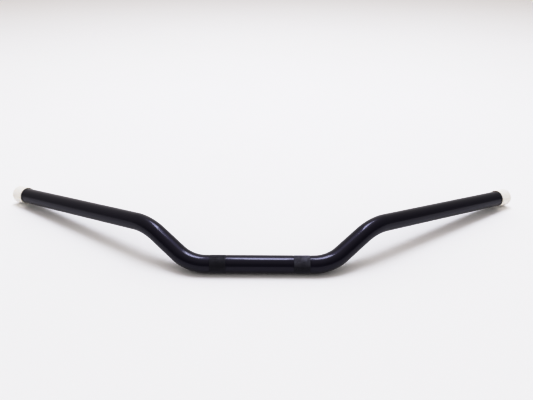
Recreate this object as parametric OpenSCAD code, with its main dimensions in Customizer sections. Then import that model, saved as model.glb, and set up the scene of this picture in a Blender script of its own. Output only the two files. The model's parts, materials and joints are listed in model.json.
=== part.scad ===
// Motorcycle handlebar: one bent steel tube with two knurled clamp bands, and a push-on cap at each end.
//
// The origin is the middle of the straight centre section, on the tube's axis. +X points to the rider's
// left hand, +Y back to the rider and +Z up, with the bar lying on its centre section and its two caps.
// The tube is laid out as a bender makes it: straight lengths, bend angles, and the turn from the plane
// of one bend to the plane of the next. All sizes are in millimetres and all angles in degrees.

/* [Tube] */

// Outside diameter of the tube
tube_d = 22.2; // [20:0.1:23.5]

// Wall thickness of the tube
tube_wall = 2.3; // [1.5:0.1:3]

/* [Bends] */

// Length of the straight centre section
centre_straight = 130; // [126:1:180]

// Lean of the first bend's plane up from the horizontal
riser_lean = 39.3; // [20:0.1:60]

// Angle of the bend from the centre section up into the riser
riser_bend = 42.5; // [30:0.5:60]

// Radius of that bend on the tube's centre line
riser_bend_radius = 52; // [40:1:80]

// Straight length of the riser between its two bends
riser_straight = 37; // [10:1:120]

// Turn of the tube between the planes of the two bends
plane_turn = 124.2; // [100:0.1:150]

// Angle of the bend from the riser into the grip section
grip_bend = 32; // [15:0.5:60]

// Radius of that bend on the tube's centre line
grip_bend_radius = 71; // [40:1:100]

// Straight length of the grip section, up to the mouth of the cap
grip_straight = 235; // [180:1:280]

/* [Knurled bands] */

// Distance from the middle of the bar to the middle of a band
band_offset = 51; // [40:0.5:53]

// Width of a band
band_width = 19.5; // [12:0.5:25]

// Width of the relief groove at each side of a band
relief_width = 1; // [0.8:0.1:1.2]

// Depth of the relief groove
relief_depth = 0.3; // [0.2:0.1:0.6]

/* [End caps] */

// Outside diameter of a cap
cap_d = 25; // [24:0.1:28]

// Outside length of a cap
cap_length = 21; // [15:0.5:35]

// Thickness of the cap's closed end
cap_floor = 1.5; // [1:0.1:3]

// Chamfer around the cap's closed end
cap_edge = 0.8; // [0.4:0.1:1.4]

// Chamfer around the inside of the cap's mouth
cap_mouth_chamfer = 0.5; // [0.2:0.1:0.8]

/* [Tube ends] */

// How much smaller in radius the lead-in under the cap is than the rest of the tube
lead_in_step = 0.2; // [0.2:0.05:0.5]

// Chamfer on the outside edge of the tube's end
end_chamfer = 0.5; // [0.2:0.1:1]

/* [Hidden] */

$fn = 96;

// Radial clearance between a cap and the lead-in
cap_clearance = 0.05;

// Gap left at the cap's mouth, and between its closed end and the tube's end
cap_gap = 0.1;

// How much thicker the wall is in a bend, on each side, so that a straight can end inside it
bend_swell = 0.06;

// How far each straight runs into the bend beside it
bend_overlap = 2;

// How far a cutting shape runs past the solid that it cuts
lap = 1;

tube_r = tube_d / 2;
bore_r = tube_r - tube_wall;
lead_in_r = tube_r - lead_in_step;
lead_in_length = cap_length - cap_floor;
cap_r = cap_d / 2;
cap_bore_r = lead_in_r + cap_clearance;
cap_bore_depth = cap_length - cap_floor;

paint = [0.09, 0.09, 0.12];
white_plastic = [0.9, 0.88, 0.84];

// Turns local +Z, the way along the tube, to +X, and local +X to +Y
module from_the_middle() {
    rotate([90, 0, 90])
        children();
}

// Moves the children to the far end of a straight length
module after_straight(length) {
    translate([0, 0, length])
        children();
}

// Moves and turns the children to the far end of a bend towards local +X
module after_bend(angle, radius) {
    translate([radius * (1 - cos(angle)), 0, radius * sin(angle)])
        rotate([0, angle, 0])
            children();
}

// Carries the children to the start of the first bend, in its plane
module at_riser_bend() {
    from_the_middle()
        after_straight(centre_straight / 2)
            rotate([0, 0, riser_lean])
                children();
}

// Carries the children to the start of the riser
module at_riser() {
    at_riser_bend()
        after_bend(riser_bend, riser_bend_radius)
            children();
}

// Carries the children to the start of the second bend, in its plane
module at_grip_bend() {
    at_riser()
        after_straight(riser_straight)
            rotate([0, 0, -plane_turn])
                children();
}

// Carries the children to the start of the grip section
module at_grip() {
    at_grip_bend()
        after_bend(grip_bend, grip_bend_radius)
            children();
}

// Carries the children to the mouth of the cap
module at_cap() {
    at_grip()
        after_straight(grip_straight)
            children();
}

// A straight length of tube, which runs on by overlap_in before its start and overlap_out past its end
module straight(length, overlap_in = 0, overlap_out = 0) {
    whole = overlap_in + length + overlap_out;
    translate([0, 0, -overlap_in])
        difference() {
            cylinder(r = tube_r, h = whole);
            translate([0, 0, -lap])
                cylinder(r = bore_r, h = whole + 2 * lap);
        }
}

// A bend of tube that starts along local +Z and turns towards local +X
module bend(angle, radius) {
    translate([radius, 0, 0])
        rotate([90, 0, 180])
            rotate_extrude(angle = angle)
                translate([radius, 0])
                    difference() {
                        circle(r = tube_r + bend_swell);
                        circle(r = bore_r - bend_swell);
                    }
}

// The slimmer end of the tube that the cap goes over
module lead_in() {
    difference() {
        union() {
            cylinder(r = lead_in_r, h = lead_in_length - end_chamfer);
            translate([0, 0, lead_in_length - end_chamfer])
                cylinder(r1 = lead_in_r, r2 = lead_in_r - end_chamfer, h = end_chamfer);
        }
        translate([0, 0, -lap])
            cylinder(r = bore_r, h = lead_in_length + 2 * lap);
    }
}

// The straight that takes the grip and the controls, with the lead-in at its end
module grip_section() {
    straight(grip_straight, bend_overlap);
    after_straight(grip_straight)
        lead_in();
}

// A relief groove around the centre section, from x onwards
module relief(x) {
    translate([x, 0, 0])
        rotate([0, 90, 0])
            difference() {
                cylinder(r = tube_r + lap, h = relief_width);
                translate([0, 0, -lap])
                    cylinder(r = tube_r - relief_depth, h = relief_width + 2 * lap);
            }
}

// The straight centre section, with a relief groove at each side of both bands
module centre_section() {
    difference() {
        translate([-centre_straight / 2, 0, 0])
            from_the_middle()
                straight(centre_straight, bend_overlap, bend_overlap);
        for (middle = [-band_offset, band_offset]) {
            relief(middle - band_width / 2 - relief_width);
            relief(middle + band_width / 2);
        }
    }
}

// Everything on the rider's left of the centre section
module left_arm() {
    at_riser_bend()
        bend(riser_bend, riser_bend_radius);
    at_riser()
        straight(riser_straight, bend_overlap, bend_overlap);
    at_grip_bend()
        bend(grip_bend, grip_bend_radius);
    at_grip()
        grip_section();
}

// The bent tube
module bar_tube() {
    color(paint)
        union() {
            centre_section();
            left_arm();
            mirror([1, 0, 0])
                left_arm();
        }
}

// A push-on cap, with its mouth at the origin and its closed end up
module end_cap() {
    color(white_plastic)
        rotate_extrude()
            polygon([
                [cap_bore_r + cap_mouth_chamfer, 0],
                [cap_r, 0],
                [cap_r, cap_length - cap_edge],
                [cap_r - cap_edge, cap_length],
                [0, cap_length],
                [0, cap_bore_depth],
                [cap_bore_r, cap_bore_depth],
                [cap_bore_r, cap_mouth_chamfer]
            ]);
}

// The cap on the rider's left
module end_cap_left() {
    at_cap()
        after_straight(cap_gap)
            end_cap();
}

// The cap on the rider's right
module end_cap_right() {
    mirror([1, 0, 0])
        end_cap_left();
}

bar_tube();
end_cap_left();
end_cap_right();
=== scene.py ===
"""Motorcycle handlebar: a bent and painted steel tube, two knurled clamp bands and a push-on cap at each end.

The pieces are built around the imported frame, in metres, with the origin in the middle of the straight
centre section, +X to the rider's left hand, +Y back to the rider and +Z up.
"""

import json
import math

import bmesh
import bpy
from mathutils import Matrix, Vector


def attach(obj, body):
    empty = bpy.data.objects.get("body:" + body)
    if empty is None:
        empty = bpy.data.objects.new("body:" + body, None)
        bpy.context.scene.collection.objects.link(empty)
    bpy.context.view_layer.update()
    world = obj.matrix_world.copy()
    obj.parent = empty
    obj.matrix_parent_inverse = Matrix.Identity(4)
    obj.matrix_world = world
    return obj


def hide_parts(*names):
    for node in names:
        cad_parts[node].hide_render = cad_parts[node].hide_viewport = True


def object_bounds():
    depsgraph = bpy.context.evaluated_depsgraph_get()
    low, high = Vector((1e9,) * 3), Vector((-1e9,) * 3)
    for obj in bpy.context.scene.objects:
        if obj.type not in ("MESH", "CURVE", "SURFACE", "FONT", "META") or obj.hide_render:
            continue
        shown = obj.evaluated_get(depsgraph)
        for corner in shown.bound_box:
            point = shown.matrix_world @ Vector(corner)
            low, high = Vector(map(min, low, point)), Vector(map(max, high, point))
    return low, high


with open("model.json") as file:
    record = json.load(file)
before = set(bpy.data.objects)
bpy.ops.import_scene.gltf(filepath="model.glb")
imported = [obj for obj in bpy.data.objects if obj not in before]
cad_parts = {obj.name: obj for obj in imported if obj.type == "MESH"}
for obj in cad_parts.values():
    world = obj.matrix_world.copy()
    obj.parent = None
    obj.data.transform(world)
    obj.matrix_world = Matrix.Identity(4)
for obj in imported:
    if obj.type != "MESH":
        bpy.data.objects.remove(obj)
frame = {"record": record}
CAD_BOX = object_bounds()

bl_info = {
    "name": "Bent tube handlebar",
    "version": (1, 0, 0),
    "blender": (4, 5, 0),
    "location": "3D View > Sidebar > Handlebar",
    "description": "Builds a bent tube handlebar with knurled clamp bands and end caps",
    "category": "Add Mesh",
}

MILLIMETRE = 0.001

MOUNTS = {mount["name"]: mount for mount in frame["record"]["mounts"]}
CENTRE_MOUNT = MOUNTS["centre_section"]
BAND_MOUNT = MOUNTS["clamp_band_left"]
GRIP_MOUNT = MOUNTS["grip_left"]

ROUND = 128
BEND_STEPS = 36
FLOOR_ROUND = 96
SMOOTH_ANGLE = math.radians(30)
MERGE_DISTANCE = 1e-6
CUT_DISTANCE = 1e-8
RING_DISTANCE = 2e-6

BORE_FINISH = 1
LEFT = 1
RIGHT = -1

# The Mix node repeats its sockets' names for each kind of data, so its colour sockets are known by number
MIX_FACTOR = 0
MIX_FIRST = 6
MIX_SECOND = 7
MIX_RESULT = 2

# The curve, among the four of a curve mapping, that acts on all the colours
COMBINED_CURVE = 3

# How strong the painted sheen is on the top crests of each knurled band: a lighter colour that stands in for
# the lamps' sheen, stronger on the left band
BAND_SHEEN = {"left": 1.0, "right": 0.2}

# The ceiling panels, which widen towards the back: left, right, near, far, and their share of the brightness
PANELS = (
    (-0.12, 0.13, 0.06, 0.32, 1.0),
    (-0.20, 0.25, 0.32, 0.66, 1.1),
    (-0.28, 0.42, 0.66, 1.10, 0.9),
    (-0.36, 0.64, 1.10, 1.60, 0.5),
)

# Local Z is the way along the tube and local X the side that a bend turns to: from the middle, +X and +Y
FROM_THE_MIDDLE = Matrix(((0, 0, 1), (1, 0, 0), (0, 1, 0))).to_4x4()
OTHER_HAND = Matrix.Scale(-1, 4, (1, 0, 0))


# Sizes and colours


class TubeSizes(bpy.types.PropertyGroup):
    """Sizes of the bent tube, in the order that a bender works from the middle outwards"""

    radius: bpy.props.FloatProperty(
        name="Tube radius",
        description="Outside radius of the tube",
        default=CENTRE_MOUNT["dims"]["r_mm"] * MILLIMETRE,
        unit="LENGTH",
        precision=5,
    )
    wall: bpy.props.FloatProperty(
        name="Wall",
        description="Wall thickness of the tube",
        default=0.0023,
        unit="LENGTH",
        precision=5,
    )
    centre_straight: bpy.props.FloatProperty(
        name="Centre straight",
        description="Length of the straight centre section",
        default=0.130,
        unit="LENGTH",
        precision=4,
    )
    riser_lean: bpy.props.FloatProperty(
        name="Riser lean",
        description="Lean of the first bend's plane up from the horizontal",
        default=math.radians(39.3),
        subtype="ANGLE",
    )
    riser_bend: bpy.props.FloatProperty(
        name="Riser bend",
        description="Angle of the bend from the centre section up into the riser",
        default=math.radians(42.5),
        subtype="ANGLE",
    )
    riser_bend_radius: bpy.props.FloatProperty(
        name="Riser bend radius",
        description="Radius of the riser bend on the tube's centre line",
        default=0.052,
        unit="LENGTH",
        precision=4,
    )
    riser_straight: bpy.props.FloatProperty(
        name="Riser straight",
        description="Straight length of the riser between its two bends",
        default=0.037,
        unit="LENGTH",
        precision=4,
    )
    plane_turn: bpy.props.FloatProperty(
        name="Plane turn",
        description="Turn of the tube between the planes of its two bends",
        default=math.radians(124.2),
        subtype="ANGLE",
    )
    grip_bend: bpy.props.FloatProperty(
        name="Grip bend",
        description="Angle of the bend from the riser into the grip section",
        default=math.radians(32),
        subtype="ANGLE",
    )
    grip_bend_radius: bpy.props.FloatProperty(
        name="Grip bend radius",
        description="Radius of the grip bend on the tube's centre line",
        default=0.071,
        unit="LENGTH",
        precision=4,
    )
    grip_straight: bpy.props.FloatProperty(
        name="Grip straight",
        description="Straight length of the grip section up to the mouth of the cap",
        default=GRIP_MOUNT["dims"]["length_mm"] * MILLIMETRE,
        unit="LENGTH",
        precision=4,
    )
    lead_in: bpy.props.FloatProperty(
        name="Lead-in",
        description="Length of the slightly slimmer end of the tube that the cap goes over",
        default=0.0195,
        unit="LENGTH",
        precision=5,
    )
    lead_in_step: bpy.props.FloatProperty(
        name="Lead-in step",
        description="How much smaller in radius the lead-in is than the tube",
        default=0.0002,
        unit="LENGTH",
        precision=5,
    )


class KnurlSizes(bpy.types.PropertyGroup):
    """Sizes of the two knurled clamp bands"""

    offset: bpy.props.FloatProperty(
        name="Band offset",
        description="Distance from the middle of the bar to the middle of a band",
        default=BAND_MOUNT["pos_m"][0],
        unit="LENGTH",
        precision=4,
    )
    width: bpy.props.FloatProperty(
        name="Band width",
        description="Width of a knurled band",
        default=BAND_MOUNT["dims"]["length_mm"] * MILLIMETRE,
        unit="LENGTH",
        precision=4,
    )
    relief: bpy.props.FloatProperty(
        name="Relief width",
        description="Width of the relief groove at each side of a band",
        default=0.001,
        unit="LENGTH",
        precision=5,
    )
    depth: bpy.props.FloatProperty(
        name="Tooth depth",
        description="Height of the knurl's teeth, which is the depth of the relief groove too",
        default=0.0003,
        unit="LENGTH",
        precision=5,
    )
    teeth: bpy.props.IntProperty(
        name="Teeth around",
        description="Number of diamond teeth in one turn of the band",
        default=60,
        min=24,
        max=90,
    )
    helix: bpy.props.FloatProperty(
        name="Helix angle",
        description="Angle between the knurl's rolled lines and the tube's axis",
        default=math.radians(30),
        subtype="ANGLE",
    )


class CapSizes(bpy.types.PropertyGroup):
    """Sizes of a push-on end cap"""

    radius: bpy.props.FloatProperty(
        name="Cap radius",
        description="Outside radius of the cap at its mouth",
        default=0.0125,
        unit="LENGTH",
        precision=5,
    )
    length: bpy.props.FloatProperty(
        name="Cap length",
        description="Outside length of the cap",
        default=0.021,
        unit="LENGTH",
        precision=5,
    )
    floor: bpy.props.FloatProperty(
        name="Closed end",
        description="Thickness of the cap's closed end",
        default=0.0015,
        unit="LENGTH",
        precision=5,
    )
    bore: bpy.props.FloatProperty(
        name="Bore radius",
        description="Inside radius of the cap",
        default=0.01095,
        unit="LENGTH",
        precision=5,
    )
    edge: bpy.props.FloatProperty(
        name="End rounding",
        description="Rounding around the cap's closed end",
        default=0.0011,
        unit="LENGTH",
        precision=5,
    )
    draft: bpy.props.FloatProperty(
        name="Draft",
        description="How much slimmer the cap is at its closed end, so that it leaves its mould",
        default=0.0001,
        unit="LENGTH",
        precision=5,
    )
    gap: bpy.props.FloatProperty(
        name="Gap",
        description="Gap left between the cap's mouth and the shoulder on the tube",
        default=0.0001,
        unit="LENGTH",
        precision=5,
    )


class FinishColours(bpy.types.PropertyGroup):
    """Colours and gloss of the finishes"""

    paint: bpy.props.FloatVectorProperty(
        name="Paint",
        description="Colour of the gloss paint on the tube",
        default=(0.0058, 0.0050, 0.0135),
        subtype="COLOR",
        min=0,
        max=1,
    )
    knurl_paint: bpy.props.FloatVectorProperty(
        name="Knurl paint",
        description="Colour of the paint over the knurl, where it lies thin and dull",
        default=(0.0085, 0.0085, 0.0125),
        subtype="COLOR",
        min=0,
        max=1,
    )
    # Painted sheen: the lighter colour put on the top crests of the knurl, in place of the lamps' sheen
    knurl_sheen: bpy.props.FloatVectorProperty(
        name="Knurl wear",
        description="Colour of the chalky paint on the crests of the knurl",
        default=(0.20, 0.20, 0.25),
        subtype="COLOR",
        min=0,
        max=1,
    )
    bore_steel: bpy.props.FloatVectorProperty(
        name="Bore steel",
        description="Colour of the bare steel inside the tube",
        default=(0.32, 0.30, 0.28),
        subtype="COLOR",
        min=0,
        max=1,
    )
    cap_plastic: bpy.props.FloatVectorProperty(
        name="Cap plastic",
        description="Colour of the moulded end caps",
        default=(0.82, 0.80, 0.76),
        subtype="COLOR",
        min=0,
        max=1,
    )
    paint_roughness: bpy.props.FloatProperty(
        name="Paint roughness",
        description="Roughness of the paint under its clear surface",
        default=0.36,
        min=0,
        max=1,
        subtype="FACTOR",
    )
    paint_gloss: bpy.props.FloatProperty(
        name="Clear surface roughness",
        description="Roughness of the paint's glossy clear surface",
        default=0.055,
        min=0,
        max=1,
        subtype="FACTOR",
    )


class StageSetting(bpy.types.PropertyGroup):
    """The camera, the lights and the floor"""

    camera_place: bpy.props.FloatVectorProperty(
        name="Camera place",
        description="Where the camera stands",
        default=(0.00867, -0.56590, 0.36139),
        subtype="TRANSLATION",
        unit="LENGTH",
    )
    camera_tilt: bpy.props.FloatProperty(
        name="Camera tilt",
        description="How far the camera looks down from the horizontal",
        default=math.radians(25.866),
        subtype="ANGLE",
    )
    camera_pan: bpy.props.FloatProperty(
        name="Camera pan",
        description="How far the camera is turned to the left about the vertical",
        default=math.radians(0.105),
        subtype="ANGLE",
    )
    camera_roll: bpy.props.FloatProperty(
        name="Camera roll",
        description="How far the camera is turned about its own line of sight",
        default=math.radians(0.310),
        subtype="ANGLE",
    )
    camera_lens: bpy.props.FloatProperty(
        name="Lens",
        description="Focal length of the camera, on a sensor 36 mm wide",
        default=36.99,
        unit="CAMERA",
    )
    lamp_height: bpy.props.FloatProperty(
        name="Lamp height",
        description="Height of the ceiling panels above the bar",
        default=2.5,
        unit="LENGTH",
    )
    lamp_power: bpy.props.FloatProperty(
        name="Lamp power",
        description="Power of the ceiling panels in watts per square metre",
        default=33.0,
        min=0,
    )
    ceiling_power: bpy.props.FloatProperty(
        name="Ceiling power",
        description="Power of the light that the ceiling around the panels gives back, in watts",
        default=5.0,
        min=0,
    )
    floor_colour: bpy.props.FloatVectorProperty(
        name="Floor",
        description="Colour of the pale floor",
        default=(0.89, 0.895, 0.905),
        subtype="COLOR",
        min=0,
        max=1,
    )


# Meshes


def verts_of(geometry):
    """The vertices among the geometry that an operator gave back"""
    return [part for part in geometry if isinstance(part, bmesh.types.BMVert)]


def edges_of(geometry):
    """The edges among the geometry that an operator gave back"""
    return [part for part in geometry if isinstance(part, bmesh.types.BMEdge)]


class TubeSkin:
    """The growing skin of a tube: its last open ring, and the place and direction that it has reached"""

    def __init__(self, mesh, radius):
        self.mesh = mesh
        self.radius = radius
        self.place = FROM_THE_MIDDLE.copy()
        ring = bmesh.ops.create_circle(
            mesh, cap_ends=False, radius=radius, segments=ROUND, matrix=self.place
        )
        self.ring = list({edge for vert in ring["verts"] for edge in vert.link_edges})

    def straight(self, length, radius=None):
        """Carries the ring straight on, and to another radius if one is given"""
        grown = bmesh.ops.extrude_edge_only(self.mesh, edges=self.ring)["geom"]
        along = self.place.to_3x3() @ Vector((0, 0, length))
        bmesh.ops.translate(self.mesh, verts=verts_of(grown), vec=along)
        self.place = self.place @ Matrix.Translation((0, 0, length))
        if radius is not None:
            share = radius / self.radius
            bmesh.ops.scale(
                self.mesh,
                verts=verts_of(grown),
                vec=(share, share, 1),
                space=self.place.inverted(),
            )
            self.radius = radius
        self.ring = [edge for edge in edges_of(grown) if edge.is_boundary]

    def turn(self, angle):
        """Turns the plane of the next bend about the tube's own axis"""
        self.place = self.place @ Matrix.Rotation(angle, 4, "Z")

    def bend(self, angle, radius):
        """Carries the ring round a bend"""
        grown = bmesh.ops.spin(
            self.mesh,
            geom=self.ring,
            cent=self.place @ Vector((radius, 0, 0)),
            axis=self.place.to_3x3() @ Vector((0, 1, 0)),
            angle=angle,
            steps=BEND_STEPS,
            use_duplicate=False,
        )["geom_last"]
        self.ring = edges_of(grown)
        reached = Matrix.Translation((radius * (1 - math.cos(angle)), 0, radius * math.sin(angle)))
        self.place = self.place @ reached @ Matrix.Rotation(angle, 4, "Y")

    def arm(self, sizes, grip_straight):
        """Carries the ring from the end of the centre section, through both bends, along the grip section"""
        self.turn(sizes.riser_lean)
        self.bend(sizes.riser_bend, sizes.riser_bend_radius)
        self.straight(sizes.riser_straight)
        self.turn(-sizes.plane_turn)
        self.bend(sizes.grip_bend, sizes.grip_bend_radius)
        self.straight(grip_straight)


def recess(skin, start, end, depth, edge):
    """A shallow recess in a skin that has reached no further than start, up to end, with broken edges"""
    reached = skin.place.translation.x
    full = skin.radius
    skin.straight(start - reached - edge)
    skin.straight(edge, full - edge)
    skin.straight(edge, full - depth)
    skin.straight(end - start - 2 * edge)
    skin.straight(edge, full - edge)
    skin.straight(edge, full)


def cap_place(sizes):
    """The place of the left cap's mouth, with local Z the way that the cap points"""
    trial = bmesh.new()
    skin = TubeSkin(trial, sizes.radius)
    skin.straight(sizes.centre_straight / 2)
    skin.arm(sizes, sizes.grip_straight)
    trial.free()
    return skin.place


def finished_piece(mesh, name, body, slot, *finishes):
    """Makes a finished mesh into a piece that rides on a body"""
    bmesh.ops.remove_doubles(mesh, verts=mesh.verts, dist=MERGE_DISTANCE)
    bmesh.ops.recalc_face_normals(mesh, faces=mesh.faces)
    open_edges = [edge for edge in mesh.edges if not edge.is_manifold]
    if open_edges:
        raise RuntimeError(f"{name} has {len(open_edges)} open edges")
    data = bpy.data.meshes.new(name)
    mesh.to_mesh(data)
    mesh.free()
    for finish in finishes:
        data.materials.append(finish)
    data.shade_smooth()
    data.set_sharp_from_angle(angle=SMOOTH_ANGLE)
    piece = bpy.data.objects.new(name, data)
    bpy.context.scene.collection.objects.link(piece)
    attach(piece, body)
    return piece


# Materials


class Value:
    """What a socket gives, which ordinary arithmetic adds nodes to"""

    def __init__(self, recipe, socket):
        self.recipe = recipe
        self.socket = socket

    def math(self, operation, *values):
        settings = {"operation": operation}
        return self.recipe.node("ShaderNodeMath", settings, dict(enumerate(values)))

    def __add__(self, other):
        return self.math("ADD", self, other)

    def __sub__(self, other):
        return self.math("SUBTRACT", self, other)

    def __rsub__(self, other):
        return self.math("SUBTRACT", other, self)

    def __mul__(self, other):
        return self.math("MULTIPLY", self, other)

    __radd__ = __add__
    __rmul__ = __mul__


class Recipe:
    """A node tree that is being put together"""

    def __init__(self, tree):
        self.tree = tree
        tree.nodes.clear()

    def node(self, kind, settings=None, inputs=None, output=0):
        """Adds a node: its settings first, then the values and links of its sockets"""
        node = self.tree.nodes.new(kind)
        for name, value in (settings or {}).items():
            setattr(node, name, value)
        for name, value in (inputs or {}).items():
            if isinstance(value, Value):
                self.tree.links.new(value.socket, node.inputs[name])
            else:
                node.inputs[name].default_value = value
        return Value(self, node.outputs[output]) if node.outputs else node

    def ramp(self, factor, stops):
        """A grey ramp through (position, brightness) stops, of which a new ramp already has two"""
        made = self.node("ShaderNodeValToRGB", None, {"Fac": factor})
        elements = made.socket.node.color_ramp.elements
        already = len(elements)
        for number, (position, brightness) in enumerate(stops):
            stop = elements[number] if number < already else elements.new(position)
            stop.position = position
            stop.color = (brightness, brightness, brightness, 1)
        return made

    def noise(self, where, scale, detail=2.0, roughness=0.5):
        """Noise from 0 to 1 with a mean of about a half, on a place"""
        inputs = {"Vector": where, "Scale": scale, "Detail": detail, "Roughness": roughness}
        return self.node("ShaderNodeTexNoise", None, inputs)

    def blend(self, factor, first, second):
        """A colour between two colours"""
        settings = {"data_type": "RGBA"}
        inputs = {MIX_FACTOR: factor, MIX_FIRST: first, MIX_SECOND: second}
        return self.node("ShaderNodeMix", settings, inputs, MIX_RESULT)

    def place(self):
        """The place on the piece, in metres"""
        return self.node("ShaderNodeTexCoord", None, None, "Object")

    def bump(self, height, strength, distance):
        """A normal that follows a height in metres times distance"""
        inputs = {"Height": height, "Strength": strength, "Distance": distance}
        return self.node("ShaderNodeBump", None, inputs)

    def surface(self, inputs):
        """Ends the recipe with one principled shader"""
        shader = self.node("ShaderNodeBsdfPrincipled", None, inputs)
        self.node("ShaderNodeOutputMaterial", None, {"Surface": shader})


def opaque(colour):
    """A colour with its alpha"""
    return (*colour, 1.0)


def scaled(colour, share):
    """A colour made darker or lighter, with its alpha"""
    return (*(channel * share for channel in colour), 1.0)


def material(name):
    """A new material and its recipe"""
    made = bpy.data.materials.new(name)
    made.use_nodes = True
    return made, Recipe(made.node_tree)


def gloss_black_paint(colours):
    """Deep blue-black gloss paint with a faint orange peel, a little dust and patches of handling"""
    made, recipe = material("gloss_black_paint")
    place = recipe.place()
    dust_grey = (0.06, 0.06, 0.065)
    patches = recipe.noise(place, scale=22.0, detail=3.0)
    specks = recipe.noise(place, scale=2600.0, detail=1.0)
    dust = recipe.ramp(specks, ((0.0, 0.0), (0.74, 0.0), (0.80, 1.0)))
    peel = recipe.noise(place, scale=620.0)
    body = recipe.blend(patches, scaled(colours.paint, 0.8), scaled(colours.paint, 1.25))
    recipe.surface(
        {
            "Base Color": recipe.blend(0.15 * dust, body, opaque(dust_grey)),
            "Roughness": colours.paint_roughness - 0.04 + 0.08 * patches + 0.1 * dust,
            "Specular IOR Level": 0.34,
            "Specular Tint": (0.66, 0.60, 1.0, 1.0),
            "Coat Weight": 0.68 - 0.08 * patches,
            "Coat Roughness": colours.paint_gloss,
            "Coat IOR": 1.5,
            "Normal": recipe.bump(peel, strength=0.35, distance=0.000015),
        }
    )
    return made


def satin_knurl_paint(colours, root, depth, side, sheen):
    """Thin, dull paint over the rolled teeth, with a painted sheen: the top crests made lighter in patches,
    as the lamps would light them
    """
    made, recipe = material(f"satin_knurl_paint_{side}")
    place = recipe.place()
    grain = recipe.noise(place, scale=1500.0)
    patches = recipe.noise(place, scale=150.0, detail=3.0)
    across = recipe.node(
        "ShaderNodeVectorMath", {"operation": "MULTIPLY"}, {0: place, 1: (0.0, 1.0, 1.0)}
    )
    reach = recipe.node("ShaderNodeVectorMath", {"operation": "LENGTH"}, {0: across}, "Value")
    crest = recipe.node(
        "ShaderNodeMapRange",
        None,
        {"Value": reach, "From Min": root, "From Max": root + depth},
    )
    split = recipe.node("ShaderNodeSeparateXYZ", None, {"Vector": place}).socket.node
    top_lit = recipe.node(
        "ShaderNodeMapRange",
        None,
        {"Value": Value(recipe, split.outputs["Z"]), "From Min": 0.2 * root, "From Max": 0.75 * root},
    )
    sheen_patches = recipe.ramp(patches, ((0.0, 0.25), (0.35, 0.35), (0.62, 1.0), (1.0, 1.0)))
    # Painted sheen: the crests turn lighter in patches, more on top of the band and by the band's own share,
    # as the lamps would light them
    painted_sheen = crest * sheen_patches * top_lit * sheen
    recipe.surface(
        {
            "Base Color": recipe.blend(painted_sheen, opaque(colours.knurl_paint), opaque(colours.knurl_sheen)),
            "Roughness": 0.30 + 0.14 * grain,
            "Specular IOR Level": 0.7,
            "Specular Tint": (0.80, 0.78, 1.0, 1.0),
            "Coat Weight": 0.5,
            "Coat Roughness": 0.22,
            "Normal": recipe.bump(grain, strength=0.5, distance=0.00002),
        }
    )
    return made


def bore_steel(colours):
    """Bare drawn steel inside the tube, with a brown bloom of light rust"""
    made, recipe = material("bore_steel")
    place = recipe.place()
    rust_brown = (0.13, 0.085, 0.06)
    bloom = recipe.noise(place, scale=240.0, detail=4.0, roughness=0.6)
    grain = recipe.noise(place, scale=1800.0)
    spots = recipe.ramp(bloom, ((0.0, 0.0), (0.45, 0.0), (0.68, 1.0)))
    recipe.surface(
        {
            "Base Color": recipe.blend(spots, opaque(colours.bore_steel), opaque(rust_brown)),
            "Metallic": 1 - 0.7 * spots,
            "Roughness": 0.38 + 0.3 * spots + 0.08 * grain,
            "Normal": recipe.bump(grain, strength=0.4, distance=0.00003),
        }
    )
    return made


def white_plastic(colours):
    """Soft off-white moulded plastic with a low sheen, a fine mould grain and faint scuffs"""
    made, recipe = material("white_plastic")
    place = recipe.place()
    scuff_grey = (0.66, 0.64, 0.60)
    cloud = recipe.noise(place, scale=95.0, detail=3.0)
    grain = recipe.noise(place, scale=2400.0)
    rubs = recipe.noise(place, scale=420.0, detail=4.0, roughness=0.65)
    scuff = recipe.ramp(rubs, ((0.0, 0.0), (0.60, 0.0), (0.74, 1.0)))
    body = recipe.blend(cloud, scaled(colours.cap_plastic, 0.97), scaled(colours.cap_plastic, 1.03))
    recipe.surface(
        {
            "Base Color": recipe.blend(scuff * 0.25, body, opaque(scuff_grey)),
            "Roughness": 0.42 + 0.1 * grain + 0.15 * scuff,
            "Subsurface Weight": 0.25,
            "Subsurface Radius": (1.0, 0.9, 0.75),
            "Subsurface Scale": 0.0015,
            "Normal": recipe.bump(grain, strength=0.3, distance=0.00002),
        }
    )
    return made


def pale_floor(colour):
    """A plain pale floor with hardly any tone in it, painted softly darker far from the bar as painted shade
    where the light falls off
    """
    made, recipe = material("pale_floor")
    place = recipe.place()
    # Painted shade: the floor turns to this grey far from the bar, as if the light fell off there
    far_painted_shade = (0.73, 0.715, 0.71)
    tone = recipe.noise(place, scale=3.0, detail=3.0)
    plain = recipe.blend(tone, scaled(colour, 0.985), scaled(colour, 1.015))
    reach = recipe.node("ShaderNodeVectorMath", {"operation": "LENGTH"}, {0: place}, "Value")
    far = recipe.node(
        "ShaderNodeMapRange",
        {"interpolation_type": "SMOOTHSTEP"},
        {"Value": reach, "From Min": 0.5, "From Max": 4.5},
    )
    recipe.surface(
        {
            "Base Color": recipe.blend(far, plain, opaque(far_painted_shade)),
            "Roughness": 0.85,
            "Specular IOR Level": 0.2,
        }
    )
    return made


# Pieces


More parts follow.
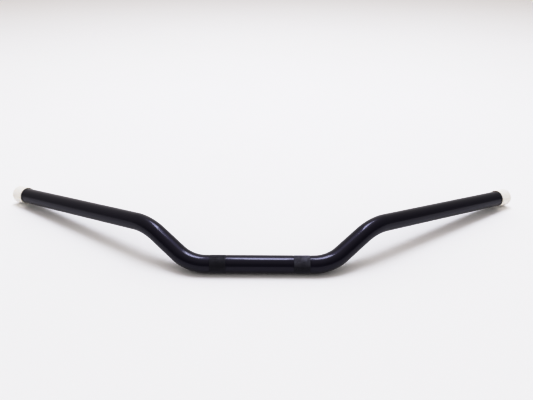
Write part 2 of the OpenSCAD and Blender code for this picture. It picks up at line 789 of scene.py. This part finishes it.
class HANDLEBAR_OT_tube(bpy.types.Operator):
    """Build the bent tube, with its bore, the recesses for the knurled bands and the slimmer ends"""

    bl_idname = "handlebar.build_tube"
    bl_label = "Build Bent Tube"

    def execute(self, context):
        sizes = context.scene.handlebar_tube
        knurl = context.scene.handlebar_knurl
        colours = context.scene.handlebar_colours
        broken_edge = 0.00008
        end_chamfer = 0.0005
        bore_chamfer = 0.0003
        mesh = bmesh.new()

        bore = TubeSkin(mesh, sizes.radius - sizes.wall)
        bore.straight(sizes.centre_straight / 2)
        bore.arm(sizes, sizes.grip_straight + sizes.lead_in - bore_chamfer)
        bore.straight(bore_chamfer, sizes.radius - sizes.wall + bore_chamfer)
        for face in mesh.faces:
            face.material_index = BORE_FINISH

        skin = TubeSkin(mesh, sizes.radius)
        band_half = knurl.width / 2 + knurl.relief
        recess(skin, knurl.offset - band_half, knurl.offset + band_half, knurl.depth, broken_edge)
        skin.straight(sizes.centre_straight / 2 - skin.place.translation.x)
        skin.arm(sizes, sizes.grip_straight - sizes.lead_in_step)
        lead_in_radius = sizes.radius - sizes.lead_in_step
        skin.straight(sizes.lead_in_step, lead_in_radius)
        skin.straight(sizes.lead_in - end_chamfer)
        skin.straight(end_chamfer, lead_in_radius - end_chamfer)

        # Known fault: the two rings are paired in opposite directions, so the end faces cross over the open
        # bore, and the bore's faces point into the wall
        bmesh.ops.bridge_loops(mesh, edges=skin.ring + bore.ring)

        bmesh.ops.mirror(
            mesh,
            geom=mesh.verts[:] + mesh.edges[:] + mesh.faces[:],
            axis="X",
            merge_dist=MERGE_DISTANCE,
        )
        tube = finished_piece(
            mesh, "bent_tube", "bar", "black_paint", gloss_black_paint(colours), bore_steel(colours)
        )
        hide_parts("bar_tube")
        return {"FINISHED"}


class HANDLEBAR_OT_knurl(bpy.types.Operator):
    """Build the two knurled clamp bands, with every diamond tooth"""

    bl_idname = "handlebar.build_knurled_bands"
    bl_label = "Build Knurled Bands"

    def execute(self, context):
        sizes = context.scene.handlebar_knurl
        crest = context.scene.handlebar_tube.radius
        colours = context.scene.handlebar_colours
        root = crest - sizes.depth
        for side, hand in (("left", LEFT), ("right", RIGHT)):
            mesh = knurled_band(sizes, crest)
            bmesh.ops.translate(mesh, verts=mesh.verts, vec=(hand * sizes.offset, 0, 0))
            # Each band gets its own strength of painted sheen
            finish = satin_knurl_paint(colours, root, sizes.depth, side, BAND_SHEEN[side])
            finished_piece(mesh, f"knurled_band_{side}", "bar", "black_paint", finish)
        return {"FINISHED"}


def tooth_strip(sizes, pitch):
    """One pitch of the knurl laid out flat in x, as wide as the band in y, with z the height of the teeth"""
    tall = pitch / math.tan(sizes.helix)
    spare = 2
    cells = 2 * math.ceil(sizes.width / tall / 2 + spare)
    flat_share = 0.55
    worn_edge = 0.08 * pitch
    tooth_half = pitch / 2 * math.cos(sizes.helix)
    mesh = bmesh.new()
    bmesh.ops.create_grid(mesh, x_segments=cells, y_segments=cells, size=cells / 2 / math.sqrt(2))
    bmesh.ops.rotate(mesh, verts=mesh.verts, matrix=Matrix.Rotation(math.radians(45), 3, "Z"))
    bmesh.ops.scale(mesh, verts=mesh.verts, vec=(pitch, tall, 1))
    bmesh.ops.inset_individual(
        mesh,
        faces=mesh.faces[:],
        thickness=tooth_half * (1 - flat_share),
        depth=sizes.depth,
        use_even_offset=True,
    )
    crests = [edge for edge in mesh.edges if all(vert.co.z > sizes.depth / 2 for vert in edge.verts)]
    bmesh.ops.bevel(
        mesh,
        geom=crests,
        offset=worn_edge,
        offset_type="OFFSET",
        segments=2,
        profile=0.5,
        affect="EDGES",
        material=-1,
    )
    cuts = (
        ((-pitch / 2, 0, 0), (-1, 0, 0)),
        ((pitch / 2, 0, 0), (1, 0, 0)),
        ((0, -sizes.width / 2, 0), (0, -1, 0)),
        ((0, sizes.width / 2, 0), (0, 1, 0)),
    )
    for point, outward in cuts:
        bmesh.ops.bisect_plane(
            mesh,
            geom=mesh.verts[:] + mesh.edges[:] + mesh.faces[:],
            dist=CUT_DISTANCE,
            plane_co=point,
            plane_no=outward,
            clear_outer=True,
        )
    return mesh


def knurled_band(sizes, crest):
    """A closed ring of knurl about the X axis, with its middle at the origin"""
    pitch = math.tau * crest / sizes.teeth
    root = crest - sizes.depth
    sunk = 0.0001
    seat = root - sunk
    mesh = tooth_strip(sizes, pitch)
    for vert in mesh.verts:
        angle = vert.co.x / crest
        reach = root + vert.co.z
        vert.co = (vert.co.y, reach * math.sin(angle), reach * math.cos(angle))
    bmesh.ops.spin(
        mesh,
        geom=mesh.verts[:] + mesh.edges[:] + mesh.faces[:],
        cent=(0, 0, 0),
        axis=(1, 0, 0),
        angle=math.tau * (sizes.teeth - 1) / sizes.teeth,
        steps=sizes.teeth - 1,
        use_duplicate=True,
    )
    bmesh.ops.remove_doubles(mesh, verts=mesh.verts, dist=MERGE_DISTANCE)
    rims = [edge for edge in mesh.edges if edge.is_boundary]
    sides = bmesh.ops.extrude_edge_only(mesh, edges=rims)["geom"]
    for vert in verts_of(sides):
        around = Vector((0, vert.co.y, vert.co.z))
        vert.co -= around * (1 - seat / around.length)
    bmesh.ops.bridge_loops(mesh, edges=[edge for edge in edges_of(sides) if edge.is_boundary])
    return mesh


class HANDLEBAR_OT_caps(bpy.types.Operator):
    """Build the two moulded push-on end caps"""

    bl_idname = "handlebar.build_end_caps"
    bl_label = "Build End Caps"

    def execute(self, context):
        sizes = context.scene.handlebar_cap
        finish = white_plastic(context.scene.handlebar_colours)
        left = cap_place(context.scene.handlebar_tube)
        right = OTHER_HAND @ left @ OTHER_HAND
        for side, place in (("left", left), ("right", right)):
            mesh = moulded_cap(sizes)
            bmesh.ops.transform(mesh, verts=mesh.verts, matrix=place)
            cap = finished_piece(mesh, f"moulded_cap_{side}", f"{side}_cap", "white_plastic", finish)
            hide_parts(f"end_cap_{side}")
        return {"FINISHED"}


def moulded_cap(sizes):
    """A cup about the Z axis, with its mouth at the origin and its closed end up"""
    gate_radius = 0.0016
    gate_slope = 1.15
    gate_depth = 0.0003
    lip_height = 0.0022
    lip_step = 0.00012
    mouth_chamfer = 0.0005
    mouth_rounding = 0.0003
    lip_rounding = 0.0001
    inner_rounding = 0.0006
    wall = sizes.radius - lip_step
    top = sizes.radius - lip_step - sizes.draft
    inner_end = sizes.length - sizes.floor
    profile = (
        (0, sizes.length - gate_depth),
        (gate_radius, sizes.length - gate_depth),
        (gate_radius * gate_slope, sizes.length),
        (top, sizes.length),
        (wall, lip_height + lip_step),
        (sizes.radius, lip_height),
        (sizes.radius, 0),
        (sizes.bore + mouth_chamfer, 0),
        (sizes.bore, mouth_chamfer),
        (sizes.bore, inner_end),
        (0, inner_end),
    )
    mesh = bmesh.new()
    points = [mesh.verts.new((radius, 0, height)) for radius, height in profile]
    lines = [mesh.edges.new(pair) for pair in zip(points, points[1:])]
    bmesh.ops.spin(
        mesh,
        geom=points + lines,
        cent=(0, 0, 0),
        axis=(0, 0, 1),
        angle=math.tau,
        steps=ROUND,
        use_merge=True,
        use_duplicate=False,
    )
    bmesh.ops.remove_doubles(mesh, verts=mesh.verts, dist=MERGE_DISTANCE)
    round_rings(mesh, top, sizes.length, sizes.edge, 6)
    round_rings(mesh, sizes.radius, 0, mouth_rounding, 3)
    round_rings(mesh, sizes.radius, lip_height, lip_rounding, 2)
    round_rings(mesh, sizes.bore, inner_end, inner_rounding, 4)
    bmesh.ops.translate(mesh, verts=mesh.verts, vec=(0, 0, sizes.gap))
    return mesh


def round_rings(mesh, radius, height, rounding, segments):
    """Rounds the ring of edges at a radius and height about the Z axis"""

    def on_ring(vert):
        at_height = abs(vert.co.z - height) < RING_DISTANCE
        return at_height and abs(vert.co.xy.length - radius) < RING_DISTANCE

    bmesh.ops.bevel(
        mesh,
        geom=[edge for edge in mesh.edges if all(on_ring(vert) for vert in edge.verts)],
        offset=rounding,
        offset_type="OFFSET",
        segments=segments,
        profile=0.5,
        affect="EDGES",
        material=-1,
    )


# Stage


def studio_world(scene):
    """A pale room that looks darker in front and at the sides in reflections, and plain where it is seen"""
    unlit = (0.0, 0.0, 0.0)
    reflected = (1.0, 0.955, 0.925)
    fill = (0.64, 0.615, 0.595)
    backdrop = (0.77, 0.76, 0.755)
    world = bpy.data.worlds.new("soft_studio")
    world.use_nodes = True
    scene.world = world
    recipe = Recipe(world.node_tree)
    direction = recipe.node("ShaderNodeTexCoord", None, None, "Generated")
    split = recipe.node("ShaderNodeSeparateXYZ", None, {"Vector": direction}).socket.node
    back = Value(recipe, split.outputs["Y"])
    up = Value(recipe, split.outputs["Z"])
    openness = recipe.node(
        "ShaderNodeMapRange",
        None,
        {"Value": up + 0.9 * back, "From Min": -0.9, "From Max": 1.0},
    )
    room = recipe.ramp(
        openness,
        ((0.0, 0.14), (0.26, 0.20), (0.40, 0.34), (0.55, 0.56), (0.70, 0.70), (1.0, 0.80)),
    )
    side = Value(recipe, split.outputs["X"])
    width = recipe.node("ShaderNodeMath", {"operation": "ABSOLUTE"}, {0: side})
    room = room * (1 - 0.52 * width - 0.12 * side)
    tint = recipe.blend(room, opaque(unlit), opaque(reflected))
    path = recipe.node("ShaderNodeLightPath").socket.node
    in_gloss = Value(recipe, path.outputs["Is Glossy Ray"])
    seen = Value(recipe, path.outputs["Is Camera Ray"])
    lit = recipe.blend(in_gloss, opaque(fill), tint)
    shown = recipe.blend(seen, lit, opaque(backdrop))
    background = recipe.node("ShaderNodeBackground", None, {"Color": shown, "Strength": 1.0})
    recipe.node("ShaderNodeOutputWorld", None, {"Surface": background})


def area_lamp(scene, name, place, size, power, colour):
    """A rectangular lamp that points straight down"""
    data = bpy.data.lights.new(name, "AREA")
    data.shape = "RECTANGLE"
    data.size, data.size_y = size
    data.energy = power
    data.color = colour
    lamp = bpy.data.objects.new(name, data)
    lamp.location = place
    scene.collection.objects.link(lamp)


def print_tone(view):
    """A crisp studio print: deeper darks, and pale tones that roll off softly"""
    brightest = (1.0, 0.95)
    view.use_curve_mapping = True
    curve = view.curve_mapping.curves[COMBINED_CURVE]
    tones = (
        (0.035, 0.013),
        (0.10, 0.047),
        (0.168, 0.103),
        (0.214, 0.152),
        (0.30, 0.265),
        (0.38, 0.41),
        (0.47, 0.58),
        (0.57, 0.72),
        (0.75, 0.85),
        (0.90, 0.91),
    )
    for tone, shown in tones:
        curve.points.new(tone, shown)
    curve.points[-1].location = brightest
    view.curve_mapping.update()


class HANDLEBAR_OT_stage(bpy.types.Operator):
    """Set the floor, the lamps and the camera around the bar"""

    bl_idname = "handlebar.set_stage"
    bl_label = "Set Stage"

    def execute(self, context):
        scene = context.scene
        setting = scene.handlebar_stage
        floor_reach = 9.0
        lamp_blue = (0.86, 0.88, 1.0)
        ceiling_size = (1.7, 2.0)
        ceiling_place = (0.05, 0.75, setting.lamp_height + 0.02)

        mesh = bmesh.new()
        bmesh.ops.create_circle(mesh, cap_ends=True, radius=floor_reach, segments=FLOOR_ROUND)
        bmesh.ops.translate(mesh, verts=mesh.verts, vec=(0, 0, CAD_BOX[0].z))
        data = bpy.data.meshes.new("floor")
        mesh.to_mesh(data)
        mesh.free()
        data.materials.append(pale_floor(setting.floor_colour))
        floor = bpy.data.objects.new("floor", data)
        scene.collection.objects.link(floor)

        studio_world(scene)
        for number, (left, right, near, far, share) in enumerate(PANELS):
            size = (right - left, far - near)
            place = ((left + right) / 2, (near + far) / 2, setting.lamp_height)
            power = share * setting.lamp_power * size[0] * size[1]
            area_lamp(scene, f"ceiling_panel_{number}", place, size, power, lamp_blue)
        area_lamp(scene, "ceiling", ceiling_place, ceiling_size, setting.ceiling_power, lamp_blue)

        data = bpy.data.cameras.new("camera")
        data.lens = setting.camera_lens
        data.sensor_width = 36.0
        data.clip_start = 0.01
        camera = bpy.data.objects.new("camera", data)
        camera.location = setting.camera_place
        pan = Matrix.Rotation(setting.camera_pan, 3, "Z")
        tilt = Matrix.Rotation(math.radians(90) - setting.camera_tilt, 3, "X")
        roll = Matrix.Rotation(setting.camera_roll, 3, "Z")
        camera.rotation_euler = (pan @ tilt @ roll).to_euler()
        scene.collection.objects.link(camera)
        scene.camera = camera

        scene.view_settings.view_transform = "Standard"
        scene.view_settings.look = "None"
        scene.view_settings.exposure = 0.0
        scene.view_settings.gamma = 1.0
        print_tone(scene.view_settings)
        return {"FINISHED"}


class HANDLEBAR_PT_build(bpy.types.Panel):
    """The handlebar's pieces, in the order that they are built"""

    bl_label = "Handlebar"
    bl_idname = "HANDLEBAR_PT_build"
    bl_space_type = "VIEW_3D"
    bl_region_type = "UI"
    bl_category = "Handlebar"

    def draw(self, context):
        for operator in (
            HANDLEBAR_OT_tube,
            HANDLEBAR_OT_knurl,
            HANDLEBAR_OT_caps,
            HANDLEBAR_OT_stage,
        ):
            self.layout.operator(operator.bl_idname)
        for group in SETTINGS:
            settings = getattr(context.scene, group)
            for name in settings.__annotations__:
                self.layout.prop(settings, name)


SETTINGS = {
    "handlebar_tube": TubeSizes,
    "handlebar_knurl": KnurlSizes,
    "handlebar_cap": CapSizes,
    "handlebar_colours": FinishColours,
    "handlebar_stage": StageSetting,
}

CLASSES = (
    *SETTINGS.values(),
    HANDLEBAR_OT_tube,
    HANDLEBAR_OT_knurl,
    HANDLEBAR_OT_caps,
    HANDLEBAR_OT_stage,
    HANDLEBAR_PT_build,
)


def register():
    for one in CLASSES:
        bpy.utils.register_class(one)
    for name, group in SETTINGS.items():
        setattr(bpy.types.Scene, name, bpy.props.PointerProperty(type=group))


def unregister():
    for name in SETTINGS:
        delattr(bpy.types.Scene, name)
    for one in reversed(CLASSES):
        bpy.utils.unregister_class(one)


def main():
    register()
    bpy.ops.handlebar.build_tube()
    bpy.ops.handlebar.build_knurled_bands()
    bpy.ops.handlebar.build_end_caps()
    bpy.ops.handlebar.set_stage()


if __name__ == "__main__":
    main()
